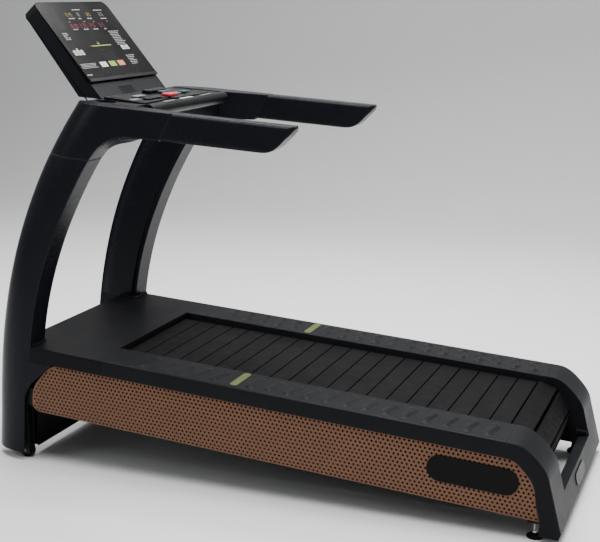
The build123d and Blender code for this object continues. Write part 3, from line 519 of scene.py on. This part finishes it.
def rail_profile():
    """Closed cut across a rail, as (y, z) from the outer foot round to the inside."""
    skin_top = RAIL_TOP - RAIL_SKIN
    outer = arc(HALF_W - RIDGE_R, RAIL_TOP - RIDGE_R, RIDGE_R, 0, 90, 6)
    tread = [(y, RAIL_TOP) for y in range(HALF_W - RIDGE_R - 4, OPEN_HALF + 5, -4)]
    inner = arc(OPEN_HALF + 3, RAIL_TOP - 3, 3, 90, 180, 3)
    below = [
        (OPEN_HALF, SKIRT_LOW),
        (OPEN_HALF + RAIL_SKIN, SKIRT_LOW),
        (OPEN_HALF + RAIL_SKIN, skin_top),
        (HALF_W - RIDGE_R, skin_top),
        (HALF_W - RAIL_SKIN, RAIL_TOP - RIDGE_R),
        (HALF_W - RAIL_SKIN, BAND_LOW + 2),
        (HALF_W - RAIL_SKIN + 1, BAND_LOW),
        (HALF_W - 1, BAND_LOW),
    ]
    return [(HALF_W, BAND_LOW + 1)] + outer + tread + inner + below


def foot_rails():
    """Rails swept along their length, with the ribs raised on the tread."""
    profile = rail_profile()
    count = ceil((RAIL_FRONT - RAIL_REAR) / RAIL_STEP)
    for name, sign in (("left", 1), ("right", -1)):
        bm = bmesh.new()
        rings = []
        for i in range(count + 1):
            x = RAIL_REAR + (RAIL_FRONT - RAIL_REAR) * i / count
            ring = []
            for y, z in profile:
                lift = rib_lift(x, y) if z == RAIL_TOP else 0
                ring.append(bm.verts.new(deck(x, sign * y, z + lift)))
            rings.append(ring)
        n = len(profile)
        for a, b in zip(rings, rings[1:]):
            for j in range(n):
                k = (j + 1) % n
                bm.faces.new((a[j], a[k], b[k], b[j]))
        bm.faces.new(rings[0])
        bm.faces.new(rings[-1])
        mesh = finish_mesh(f"ribbed_rail_{name}", bm, 40)
        piece(f"ribbed_rail_{name}", mesh, "rail_cover", stands_for=(f"foot_rail_{name}",))


def step_markers():
    """Soft-edged marker strips that lie in the rails' pockets."""
    low, high = MARKER_Y
    bm = bmesh.new()
    for sign in (1, -1):
        strip = bmesh.new()
        bmesh.ops.create_cube(strip, size=1)
        upright = [e for e in strip.edges if abs(e.verts[0].co.z - e.verts[1].co.z) > 0.5]
        for v in strip.verts:
            v.co = Vector((v.co.x * MARKER_LONG, v.co.y * (high - low), v.co.z * MARKER_TALL))
        bmesh.ops.bevel(strip, geom=upright, offset=MARKER_CORNER, segments=6, profile=0.5, affect="EDGES")
        rim = [e for e in strip.edges if all(v.co.z > 1 for v in e.verts) and e.calc_face_angle(0) > 1]
        bmesh.ops.bevel(strip, geom=rim, offset=1, segments=3, profile=0.5, affect="EDGES")
        for v in strip.verts:
            v.co = deck(MARKER_X + v.co.x, sign * (low + high) / 2 + v.co.y, RAIL_TOP + 0.6 + v.co.z)
        add_to(bm, strip)
    piece("step_marks", finish_mesh("step_marks", bm), "step_marker", stands_for=("step_markers",))


# --- hood mouldings and badges ------------------------------------------------------
UPRIGHT_REAR_X = 947.3


def hood_collars():
    """Raised moulding on the hood round the foot of each upright."""
    for name, sign in (("left", 1), ("right", -1)):
        curve = bpy.data.curves.new(f"hood_collar_{name}", "CURVE")
        curve.dimensions = "3D"
        curve.bevel_depth, curve.bevel_resolution = 0.006, 4
        path = curve.splines.new("POLY")
        corner = [radians(180 + 15 * i) for i in range(7)]
        spots = [(UPRIGHT_REAR_X - 3, 446)]
        spots += [(UPRIGHT_REAR_X + 9 + 12 * cos(a), 359 + 12 * sin(a)) for a in corner]
        spots += [(1019, 349)]
        path.points.add(len(spots) - 1)
        for point, (x, y) in zip(path.points, spots):
            point.co = (*deck(x, sign * y, RAIL_TOP + 1.5), 1)
        o = bpy.data.objects.new(f"hood_collar_{name}", curve)
        bpy.context.collection.objects.link(o)
        curve.materials.append(MAT["hood_cover"])
        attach(o, "machine")


# --- display graphics ---------------------------------------------------------------
SCREEN_FOOT, SCREEN_ANGLE = (780, 1310), radians(46.4)
SCREEN_HALF = 256
PRINT_THICK = 0.5
SEGMENTS = {
    "0": "abcdef", "1": "bc", "2": "abged", "3": "abgcd", "4": "fgbc",
    "5": "afgcd", "6": "afgedc", "7": "abc", "8": "abcdefg", "9": "abcdfg",
}


def on_screen(u, y, out=0.0):
    """Point u up the screen, y across it, and out from its face, in millimetres."""
    x0, z0 = SCREEN_FOOT
    c, s = cos(SCREEN_ANGLE), sin(SCREEN_ANGLE)
    return deck(x0 + u * c - out * s, y, z0 + u * s + out * c)


def tile(bm, u0, u1, y0, y1, out=0.0, thick=PRINT_THICK):
    """Thin rectangular mark on the screen."""
    corners = [(u0, y0), (u1, y0), (u1, y1), (u0, y1)]
    low = [bm.verts.new(on_screen(u, y, out)) for u, y in corners]
    high = [bm.verts.new(on_screen(u, y, out + thick)) for u, y in corners]
    bm.faces.new(high)
    bm.faces.new(low[::-1])
    for i in range(4):
        j = (i + 1) % 4
        bm.faces.new((low[i], low[j], high[j], high[i]))


def digit(bm, figure, u, y, tall, wide, bar):
    """Seven-segment figure whose lower left corner, as the runner sees it, is at (u, y)."""
    half = tall / 2
    places = {
        "a": (u + tall - bar, u + tall, y - wide, y),
        "g": (u + half - bar / 2, u + half + bar / 2, y - wide, y),
        "d": (u, u + bar, y - wide, y),
        "f": (u + half, u + tall, y - bar, y),
        "e": (u, u + half, y - bar, y),
        "b": (u + half, u + tall, y - wide, y - wide + bar),
        "c": (u, u + half, y - wide, y - wide + bar),
    }
    for name in SEGMENTS[figure]:
        tile(bm, *places[name])


def figures(bm, text, u, y, tall=17, wide=9, bar=2.2, gap=4):
    """Row of seven-segment figures; other characters become a dot."""
    for figure in text:
        if figure in SEGMENTS:
            digit(bm, figure, u, y, tall, wide, bar)
            y -= wide + gap
        else:
            tile(bm, u, u + bar, y - bar, y)
            y -= bar + gap


def words(bm, u, y0, y1, tall=4):
    """Row of short bars that stands for a printed label, from y0 towards y1."""
    lengths, y, i = (9, 5, 12, 7), y0, 0
    while y - lengths[i % 4] > y1:
        tile(bm, u, u + tall, y - lengths[i % 4], y)
        y -= lengths[i % 4] + 3
        i += 1


def paragraph(bm, u, y0, y1, lines, pitch=7, tall=3):
    """Lines of short bars that stand for small print."""
    for i in range(lines):
        words(bm, u - i * pitch, y0 - (i % 2) * 2, y1 + (i % 3) * 6, tall)


def display_graphics():
    """Everything printed or lit on the screen, one piece for each colour."""
    groups = {name: bmesh.new() for name in SCREEN}
    label = groups["print"]
    for u, y0, y1 in ((392, 30, -26), (388, -122, -196), (351, 96, 50), (350, 26, -4), (349, -36, -70),
                      (347, -134, -186), (300, 118, 84), (299, 44, 8), (298, -26, -62), (297, -104, -136)):
        words(label, u, y0, y1)
    words(label, 94, 248, 206, 5)
    paragraph(label, 285, 214, 172, 5)
    paragraph(label, 144, 244, 132, 4, 6, 2.4)
    paragraph(label, 284, -118, -196, 9, 8)
    paragraph(label, 166, -118, -182, 6, 8)
    for u, y0, y1 in ((336, 112, 96), (335, 12, -8), (334, -60, -74), (333, -160, -176)):
        words(groups["grey"], u, y0, y1, 3)
    figures(groups["amber"], "0:45", 363, 98)
    figures(groups["grey"], "12", 363, 24)
    figures(groups["amber"], "120", 362, -40)
    figures(groups["grey"], "2.5", 361, -140)
    for text, y in (("18:30", 128), ("3.20", 54), ("245", -14), ("6.5", -90)):
        figures(groups["red"], text, 309, y, 19, 10, 2.6, 4)
    tile(groups["green"], 220, 224, -66, 74)
    tile(groups["red"], 220, 224, 76, 93)
    tile(groups["green"], 227, 241, 17, 20)
    tile(groups["green"], 230, 233, 10, 27)
    for y in (228, 204, 180):
        tile(groups["white"], 186, 208, y - 18, y)
        tile(groups["grey"], 191, 203, y - 13, y - 5, PRINT_THICK, 0.2)
    tile(groups["white"], 211, 216, 188, 198)
    for y in (-130, -160):
        tile(groups["white"], 197, 216, y - 24, y)
        tile(groups["grey"], 201, 212, y - 17, y - 7, PRINT_THICK, 0.2)
    for name, y in (("white", 108), ("green", 42), ("orange", -22)):
        tile(groups[name], 125, 148, y - 46, y)
        words(groups["grey"] if name == "white" else groups["white"], 135, y - 12, y - 36, 3)
    for name, bm in groups.items():
        bmesh.ops.recalc_face_normals(bm, faces=bm.faces)
        mesh = bpy.data.meshes.new(f"screen_marks_{name}")
        bm.to_mesh(mesh)
        bm.free()
        piece(f"screen_marks_{name}", mesh, "display_glass", material=SCREEN[name])


def display_trim():
    """Dark lip under the screen, back-shell line, and near-black slots on the vent: painted shade for its openings."""
    bm = bmesh.new()
    tile(bm, 66, 79, -SCREEN_HALF + 1, SCREEN_HALF - 1, -3, 5)
    mesh = finish_mesh("screen_lip", bm)
    piece("screen_lip", mesh, "key_plate")
    bm = bmesh.new()
    for sign in (1, -1):
        y0, y1 = sorted((sign * (SCREEN_HALF - 1), sign * (SCREEN_HALF + 0.4)))
        tile(bm, -8, 412, y0, y1, -60, 5)
    piece("display_seam", finish_mesh("display_seam", bm), "key_plate", material=MAT["channel_strip"])
    # Near-black tiles on the vent panel: painted shade for the dark insides of the vent openings.
    bm = bmesh.new()
    for row in range(6):
        for col in range(9):
            u, y = 2 + row * 6.5, 84 - col * 11 - (row % 2) * 3
            tile(bm, u, u + 3.4, y - 8, y, -8.2, 0.9)
    piece("vent_slot_shade", finish_mesh("vent_slot_shade", bm), "key_plate", material=MAT["channel_strip"])


# --- console ------------------------------------------------------------------------
BAR_X, BAR_Z, BAR_R = 562, 1285, 23
PLATE_REAR, PLATE_RISE = (604, 1305), atan2(6, 164)


def plate_z(x):
    return PLATE_REAR[1] + (x - PLATE_REAR[0]) * sin(PLATE_RISE)


def console_details():
    """Labels, sensor plates, rocker keys and trim lines on the cross handle and the key plate."""
    lean = PLATE_RISE * 180 / pi
    bar_top = BAR_Z + BAR_R
    # The bar's label takes the screen's white, which emits a little: a painted glow on a printed label.
    slabs("bar_label", [((BAR_X + 4, 6, bar_top + 0.2), (13, 96, 1.2))], 0.4, "grip", material=SCREEN["white"])
    slabs("bar_sensors", [((BAR_X, sign * 150, bar_top - 0.2), (17, 88, 2.4)) for sign in (1, -1)], 1.0, "grip",
          material=MAT["steel"])
    rockers = [((725, y, plate_z(725) + 6), (34, 30, 14)) for y in (14, -22, -58, -94)]
    rockers += [((640, y, plate_z(640) + 3), (24, 34, 8)) for y in (96, 134, 172)]
    slabs("rocker_keys", rockers, 3.5, "key_plate", lean)
    slabs("silver_label", [((668, 214, plate_z(668) + 0.6), (22, 54, 1.2))], 0.5, "key_plate", lean, MAT["start_grey"])
    slabs("pale_key", [((660, -95, plate_z(660) + 2), (22, 44, 5))], 1.8, "key_plate", lean, MAT["start_grey"])
    trims = [((686, y, plate_z(686) + 0.4), (140, 1.6, 1)) for y in (-236, 240)]
    slabs("plate_trim", trims, 0.3, "key_plate", lean)


KEY_CAPS = {
    "stop": (623, 30, 36, 70, 12, 4, "stop_red"),
    "start": (690, 150, 26, 66, 4, 2, "start_grey"),
    "speed": (692, -60, 26, 74, 7, 2, "key_teal"),
    "level": (655, -150, 26, 60, 5, 2, "key_teal"),
}


def key_caps():
    """Keys with domed tops and rounded sides, each on its own button body."""
    for name, (x, y, long_x, long_y, tall, travel, slot) in KEY_CAPS.items():
        low = plate_z(x + long_x / 2) + travel + 0.5
        bm = bmesh.new()
        slab(bm, (x, y, low + tall / 2), (long_x, long_y, tall), min(tall * 0.42, 4.5))
        slab(bm, (x, y, low - 4), (7, 7, 10), 1)
        piece(f"{name}_cap", finish_mesh(f"{name}_cap", bm), slot, f"{name}_button", (f"{name}_key",))


# --- wheels and feet ------------------------------------------------------------------
WHEEL_X, WHEEL_Y, WHEEL_R, WHEEL_STEPS = 985, 402, 30, 56
FOOT_X, FOOT_Y = -944, 404
PAD = [(20, 0), (26, 0), (27, 1.5), (27, 5), (25, 8), (19, 12), (14.5, 15.5), (12, 16), (6.5, 16)]
COLLAR = [(9, 16.2), (10.5, 17), (10.5, 24), (9, 25)]
TYRE = [  # (radius, distance from the wheel's middle)
    (22, -11), (24, -13), (27, -12.5), (29.3, -9.5), (30, -5), (30, 5), (29.3, 9.5), (27, 12.5), (24, 13), (22, 11),
    (19, 9), (10, 9), (9.5, 12), (6.05, 12), (6.05, -12), (9.5, -12), (10, -9), (19, -9),
]


def wheels():
    """Transport wheels with a rounded tyre, a web and a bored hub."""
    turns = [2 * pi * i / WHEEL_STEPS for i in range(WHEEL_STEPS)]
    for name, sign in (("left", 1), ("right", -1)):
        bm = bmesh.new()
        rings = []
        for radius, across in TYRE:
            y = sign * WHEEL_Y + across
            spots = [(WHEEL_X + radius * cos(a), y, WHEEL_R + radius * sin(a)) for a in turns]
            rings.append([bm.verts.new(ground(*spot)) for spot in spots])
        for low, high in zip(rings, rings[1:] + rings[:1]):
            for i in range(WHEEL_STEPS):
                j = (i + 1) % WHEEL_STEPS
                bm.faces.new((low[i], low[j], high[j], high[i]))
        piece(f"front_wheel_{name}", finish_mesh(f"front_wheel_{name}", bm), "wheel_tyre", f"wheel_{name}",
              (f"transport_wheel_{name}",))


def feet():
    """Rubber-cased pad with a steel stem and a hex collar, on each foot's own body."""
    for name, sign in (("left", 1), ("right", -1)):
        spot = (FOOT_X, sign * FOOT_Y, 0)
        bm = bmesh.new()
        lathe(bm, PAD, spot)
        piece(f"foot_pad_{name}", finish_mesh(f"foot_pad_{name}", bm), "steel", f"foot_{name}",
              (f"levelling_foot_{name}",), MAT["wheel_tyre"])
        bm = bmesh.new()
        stem = [(6, 12)]
        for i in range(38):
            stem += [(6, 17 + i * 2), (5.4, 18 + i * 2)]
        lathe(bm, stem + [(6, 95), (5, 96)], spot, steps=24)
        lathe(bm, COLLAR, spot, steps=6)
        piece(f"foot_stem_{name}", finish_mesh(f"foot_stem_{name}", bm), "steel", f"foot_{name}",
              (f"levelling_foot_{name}",), ZINC)


side_panels()
panel_shade_sheets()
foot_rails()
step_markers()
hood_collars()
display_graphics()
display_trim()
console_details()
key_caps()
wheels()
feet()


# --- floor, light, camera -------------------------------------------------------
def stage():
    """Pale floor that sweeps up into a backdrop behind the machine."""
    bm = bmesh.new()
    far, rise, half = -7.5, 3.0, 30
    profile = [(30, 0), (far + rise, 0)]
    profile += [(far + rise - rise * sin(a), rise - rise * cos(a)) for a in (radians(6 * i) for i in range(1, 16))]
    profile += [(far, 14)]
    rows = [[bm.verts.new((x, y, z)) for x in (-half, half)] for y, z in profile]
    for a, b in zip(rows, rows[1:]):
        bm.faces.new((a[0], a[1], b[1], b[0]))
    mesh = finish_mesh("floor", bm, 60)
    m, nt, b = shader("floor_paint")
    nt.links.new(mix(nt, noise(nt, 1.5, 4), (0.8, 0.8, 0.8), (0.84, 0.84, 0.84)), b.inputs["Base Color"])
    b.inputs["Roughness"].default_value = 0.8
    b.inputs["Specular IOR Level"].default_value = 0.2
    mesh.materials.append(m)
    floor = bpy.data.objects.new("floor", mesh)
    bpy.context.collection.objects.link(floor)


def lamp(name, size, power, spot, aim):
    data = bpy.data.lights.new(name, "AREA")
    data.shape, data.size, data.size_y = "RECTANGLE", size[0], size[1]
    data.energy = power
    o = bpy.data.objects.new(name, data)
    o.location = spot
    o.rotation_mode = "QUATERNION"
    o.rotation_quaternion = (Vector(aim) - Vector(spot)).to_track_quat("-Z", "Y")
    bpy.context.collection.objects.link(o)


def lights():
    world = bpy.data.worlds.new("studio")
    bpy.context.scene.world = world
    world.use_nodes = True
    bg = world.node_tree.nodes["Background"]
    bg.inputs["Color"].default_value = (0.95, 0.97, 1, 1)
    bg.inputs["Strength"].default_value = 0.26
    lamp("key", (4, 4), 480, (-0.6, 0.4, 5.2), (0, 0, 0.4))
    lamp("fill", (2, 2), 32, (3.8, 2.8, 2.8), (0.3, 0, 0.8))
    lamp("rear", (2.5, 2), 10, (-4.0, 0.6, 2.6), (-0.8, 0, 0.4))
    lamp("back", (5, 1.1), 230, (0.8, -2.6, 4.4), (0.2, 0, 0.8))


def camera():
    data = bpy.data.cameras.new("camera")
    sensor, wide = 36, 600
    data.sensor_fit, data.sensor_width = "HORIZONTAL", sensor
    data.lens = sensor * 1203.38 / wide
    data.shift_x, data.shift_y = 35 / wide, 0
    o = bpy.data.objects.new("camera", data)
    right = Vector((-0.92173, -0.38770, -0.00998))
    down = Vector((-0.07641, 0.20678, -0.97540))
    ahead = Vector((0.38022, -0.89830, -0.22022))
    turn = Matrix((right, -down, -ahead)).transposed()
    o.matrix_world = Matrix.Translation((-1.5981, 4.0501, 1.6989)) @ turn.to_4x4()
    bpy.context.collection.objects.link(o)
    bpy.context.scene.camera = o


stage()
lights()
camera()
